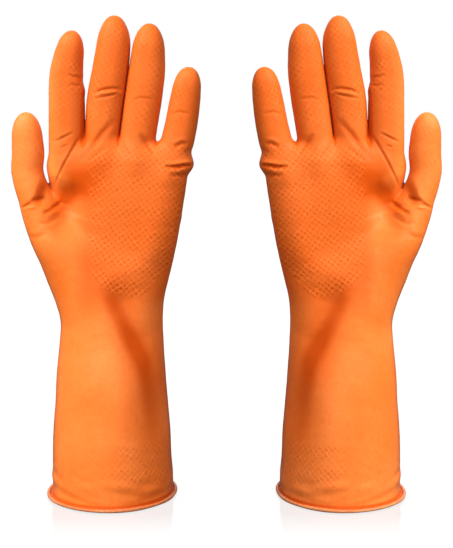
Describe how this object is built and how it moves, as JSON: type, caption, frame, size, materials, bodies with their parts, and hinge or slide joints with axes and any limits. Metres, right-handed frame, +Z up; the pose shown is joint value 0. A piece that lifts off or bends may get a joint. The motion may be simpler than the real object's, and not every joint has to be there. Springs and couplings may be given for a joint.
{
  "type": "rubber gloves",
  "caption": "Pair of orange dipped-latex household gloves with long flared cuffs, rolled bead edges and a raised lattice grip, bending at wrists and fingers.",
  "frame": {"origin": "on the floor under the pair, midway between the two cuffs", "axes": "+Z up along the fingers, palms face -Y, the left glove is on the -X side and the right glove mirrors it"},
  "size_m": [0.2762, 0.0832, 0.306],
  "materials": {
    "latex_skin": "satin dipped latex, raised lattice grip",
    "latex_bead": "smooth rolled latex edge"
  },
  "bodies": {
    "left_cuff": {"left_cuff": "latex_skin", "left_cuff_bead": "latex_bead"},
    "left_palm": {"left_palm": "latex_skin"},
    "left_thumb_base": {"left_thumb_base": "latex_skin"},
    "left_thumb_tip": {"left_thumb_tip": "latex_skin"},
    "left_index_base": {"left_index_base": "latex_skin"},
    "left_index_middle": {"left_index_middle": "latex_skin"},
    "left_index_tip": {"left_index_tip": "latex_skin"},
    "left_middle_base": {"left_middle_base": "latex_skin"},
    "left_middle_middle": {"left_middle_middle": "latex_skin"},
    "left_middle_tip": {"left_middle_tip": "latex_skin"},
    "left_ring_base": {"left_ring_base": "latex_skin"},
    "left_ring_middle": {"left_ring_middle": "latex_skin"},
    "left_ring_tip": {"left_ring_tip": "latex_skin"},
    "left_little_base": {"left_little_base": "latex_skin"},
    "left_little_middle": {"left_little_middle": "latex_skin"},
    "left_little_tip": {"left_little_tip": "latex_skin"},
    "right_cuff": {"right_cuff": "latex_skin", "right_cuff_bead": "latex_bead"},
    "right_palm": {"right_palm": "latex_skin"},
    "right_thumb_base": {"right_thumb_base": "latex_skin"},
    "right_thumb_tip": {"right_thumb_tip": "latex_skin"},
    "right_index_base": {"right_index_base": "latex_skin"},
    "right_index_middle": {"right_index_middle": "latex_skin"},
    "right_index_tip": {"right_index_tip": "latex_skin"},
    "right_middle_base": {"right_middle_base": "latex_skin"},
    "right_middle_middle": {"right_middle_middle": "latex_skin"},
    "right_middle_tip": {"right_middle_tip": "latex_skin"},
    "right_ring_base": {"right_ring_base": "latex_skin"},
    "right_ring_middle": {"right_ring_middle": "latex_skin"},
    "right_ring_tip": {"right_ring_tip": "latex_skin"},
    "right_little_base": {"right_little_base": "latex_skin"},
    "right_little_middle": {"right_little_middle": "latex_skin"},
    "right_little_tip": {"right_little_tip": "latex_skin"}
  },
  "joints": [
    {"name": "pair_spacing", "type": "slide", "parent": "left_cuff", "child": "right_cuff", "axis": [1, 0, 0], "range_m": [-0.03, 0.2]},
    {"name": "left_wrist", "type": "hinge", "parent": "left_cuff", "child": "left_palm", "pos_m": [-0.0735, 0, 0.113], "axis": [1, 0, 0], "range_deg": [-40, 40], "stiffness_Nm_per_rad": 0.3},
    {"name": "left_thumb_swing", "type": "hinge", "parent": "left_palm", "child": "left_thumb_base", "pos_m": [-0.12582, -0.00958, 0.20985], "axis": [-0.9187, -0.3433, -0.1953], "range_deg": [-45, 15], "stiffness_Nm_per_rad": 0.02},
    {"name": "left_thumb_tip_bend", "type": "hinge", "parent": "left_thumb_base", "child": "left_thumb_tip", "pos_m": [-0.12708, -0.00929, 0.22631], "axis": [-0.9187, -0.3433, -0.1953], "range_deg": [-50, 10], "stiffness_Nm_per_rad": 0.01},
    {"name": "left_index_knuckle", "type": "hinge", "parent": "left_palm", "child": "left_index_base", "pos_m": [-0.10363, -0.00774, 0.237], "axis": [0.9914, 0, -0.1305], "range_deg": [-15, 60], "stiffness_Nm_per_rad": 0.02},
    {"name": "left_index_middle_bend", "type": "hinge", "parent": "left_index_base", "child": "left_index_middle", "pos_m": [-0.10348, -0.00804, 0.2535], "axis": [0.9914, 0, -0.1305], "range_deg": [0, 80], "stiffness_Nm_per_rad": 0.01},
    {"name": "left_index_tip_bend", "type": "hinge", "parent": "left_index_middle", "child": "left_index_tip", "pos_m": [-0.10321, -0.00851, 0.2725], "axis": [0.9914, 0, -0.1305], "range_deg": [0, 48], "stiffness_Nm_per_rad": 0.005},
    {"name": "left_middle_knuckle", "type": "hinge", "parent": "left_palm", "child": "left_middle_base", "pos_m": [-0.07944, -0.00797, 0.237], "axis": [0.9914, 0, -0.1305], "range_deg": [-15, 60], "stiffness_Nm_per_rad": 0.02},
    {"name": "left_middle_middle_bend", "type": "hinge", "parent": "left_middle_base", "child": "left_middle_middle", "pos_m": [-0.07802, -0.00837, 0.255], "axis": [0.9914, 0, -0.1305], "range_deg": [0, 80], "stiffness_Nm_per_rad": 0.01},
    {"name": "left_middle_tip_bend", "type": "hinge", "parent": "left_middle_middle", "child": "left_middle_tip", "pos_m": [-0.07521, -0.00886, 0.277], "axis": [0.9914, 0, -0.1305], "range_deg": [0, 48], "stiffness_Nm_per_rad": 0.005},
    {"name": "left_ring_knuckle", "type": "hinge", "parent": "left_palm", "child": "left_ring_base", "pos_m": [-0.05686, -0.00785, 0.236], "axis": [0.9914, 0, -0.1305], "range_deg": [-15, 60], "stiffness_Nm_per_rad": 0.02},
    {"name": "left_ring_middle_bend", "type": "hinge", "parent": "left_ring_base", "child": "left_ring_middle", "pos_m": [-0.05434, -0.00824, 0.2535], "axis": [0.9914, 0, -0.1305], "range_deg": [0, 80], "stiffness_Nm_per_rad": 0.01},
    {"name": "left_ring_tip_bend", "type": "hinge", "parent": "left_ring_middle", "child": "left_ring_tip", "pos_m": [-0.05212, -0.00876, 0.274], "axis": [0.9914, 0, -0.1305], "range_deg": [0, 48], "stiffness_Nm_per_rad": 0.005},
    {"name": "left_little_knuckle", "type": "hinge", "parent": "left_palm", "child": "left_little_base", "pos_m": [-0.03178, -0.00731, 0.229], "axis": [0.9914, 0, -0.1305], "range_deg": [-15, 60], "stiffness_Nm_per_rad": 0.02},
    {"name": "left_little_middle_bend", "type": "hinge", "parent": "left_little_base", "child": "left_little_middle", "pos_m": [-0.02863, -0.00744, 0.2445], "axis": [0.9914, 0, -0.1305], "range_deg": [0, 80], "stiffness_Nm_per_rad": 0.01},
    {"name": "left_little_tip_bend", "type": "hinge", "parent": "left_little_middle", "child": "left_little_tip", "pos_m": [-0.02616, -0.00755, 0.259], "axis": [0.9914, 0, -0.1305], "range_deg": [0, 48], "stiffness_Nm_per_rad": 0.005},
    {"name": "right_wrist", "type": "hinge", "parent": "right_cuff", "child": "right_palm", "pos_m": [0.0735, 0, 0.113], "axis": [1, 0, 0], "range_deg": [-40, 40], "stiffness_Nm_per_rad": 0.3},
    {"name": "right_thumb_swing", "type": "hinge", "parent": "right_palm", "child": "right_thumb_base", "pos_m": [0.12582, -0.00958, 0.20985], "axis": [-0.9187, 0.3433, 0.1953], "range_deg": [-45, 15], "stiffness_Nm_per_rad": 0.02},
    {"name": "right_thumb_tip_bend", "type": "hinge", "parent": "right_thumb_base", "child": "right_thumb_tip", "pos_m": [0.12708, -0.00929, 0.22631], "axis": [-0.9187, 0.3433, 0.1953], "range_deg": [-50, 10], "stiffness_Nm_per_rad": 0.01},
    {"name": "right_index_knuckle", "type": "hinge", "parent": "right_palm", "child": "right_index_base", "pos_m": [0.10363, -0.00774, 0.237], "axis": [0.9914, 0, 0.1305], "range_deg": [-15, 60], "stiffness_Nm_per_rad": 0.02},
    {"name": "right_index_middle_bend", "type": "hinge", "parent": "right_index_base", "child": "right_index_middle", "pos_m": [0.10348, -0.00804, 0.2535], "axis": [0.9914, 0, 0.1305], "range_deg": [0, 80], "stiffness_Nm_per_rad": 0.01},
    {"name": "right_index_tip_bend", "type": "hinge", "parent": "right_index_middle", "child": "right_index_tip", "pos_m": [0.10321, -0.00851, 0.2725], "axis": [0.9914, 0, 0.1305], "range_deg": [0, 48], "stiffness_Nm_per_rad": 0.005},
    {"name": "right_middle_knuckle", "type": "hinge", "parent": "right_palm", "child": "right_middle_base", "pos_m": [0.07944, -0.00797, 0.237], "axis": [0.9914, 0, 0.1305], "range_deg": [-15, 60], "stiffness_Nm_per_rad": 0.02},
    {"name": "right_middle_middle_bend", "type": "hinge", "parent": "right_middle_base", "child": "right_middle_middle", "pos_m": [0.07802, -0.00837, 0.255], "axis": [0.9914, 0, 0.1305], "range_deg": [0, 80], "stiffness_Nm_per_rad": 0.01},
    {"name": "right_middle_tip_bend", "type": "hinge", "parent": "right_middle_middle", "child": "right_middle_tip", "pos_m": [0.07521, -0.00886, 0.277], "axis": [0.9914, 0, 0.1305], "range_deg": [0, 48], "stiffness_Nm_per_rad": 0.005},
    {"name": "right_ring_knuckle", "type": "hinge", "parent": "right_palm", "child": "right_ring_base", "pos_m": [0.05686, -0.00785, 0.236], "axis": [0.9914, 0, 0.1305], "range_deg": [-15, 60], "stiffness_Nm_per_rad": 0.02},
    {"name": "right_ring_middle_bend", "type": "hinge", "parent": "right_ring_base", "child": "right_ring_middle", "pos_m": [0.05434, -0.00824, 0.2535], "axis": [0.9914, 0, 0.1305], "range_deg": [0, 80], "stiffness_Nm_per_rad": 0.01},
    {"name": "right_ring_tip_bend", "type": "hinge", "parent": "right_ring_middle", "child": "right_ring_tip", "pos_m": [0.05212, -0.00876, 0.274], "axis": [0.9914, 0, 0.1305], "range_deg": [0, 48], "stiffness_Nm_per_rad": 0.005},
    {"name": "right_little_knuckle", "type": "hinge", "parent": "right_palm", "child": "right_little_base", "pos_m": [0.03178, -0.00731, 0.229], "axis": [0.9914, 0, 0.1305], "range_deg": [-15, 60], "stiffness_Nm_per_rad": 0.02},
    {"name": "right_little_middle_bend", "type": "hinge", "parent": "right_little_base", "child": "right_little_middle", "pos_m": [0.02863, -0.00744, 0.2445], "axis": [0.9914, 0, 0.1305], "range_deg": [0, 80], "stiffness_Nm_per_rad": 0.01},
    {"name": "right_little_tip_bend", "type": "hinge", "parent": "right_little_middle", "child": "right_little_tip", "pos_m": [0.02616, -0.00755, 0.259], "axis": [0.9914, 0, 0.1305], "range_deg": [0, 48], "stiffness_Nm_per_rad": 0.005}
  ],
  "couplings": [
    {"joint": "left_index_tip_bend", "follows": "left_index_middle_bend", "ratio": 0.6},
    {"joint": "left_middle_tip_bend", "follows": "left_middle_middle_bend", "ratio": 0.6},
    {"joint": "left_ring_tip_bend", "follows": "left_ring_middle_bend", "ratio": 0.6},
    {"joint": "left_little_tip_bend", "follows": "left_little_middle_bend", "ratio": 0.6},
    {"joint": "right_index_tip_bend", "follows": "right_index_middle_bend", "ratio": 0.6},
    {"joint": "right_middle_tip_bend", "follows": "right_middle_middle_bend", "ratio": 0.6},
    {"joint": "right_ring_tip_bend", "follows": "right_ring_middle_bend", "ratio": 0.6},
    {"joint": "right_little_tip_bend", "follows": "right_little_middle_bend", "ratio": 0.6}
  ]
}
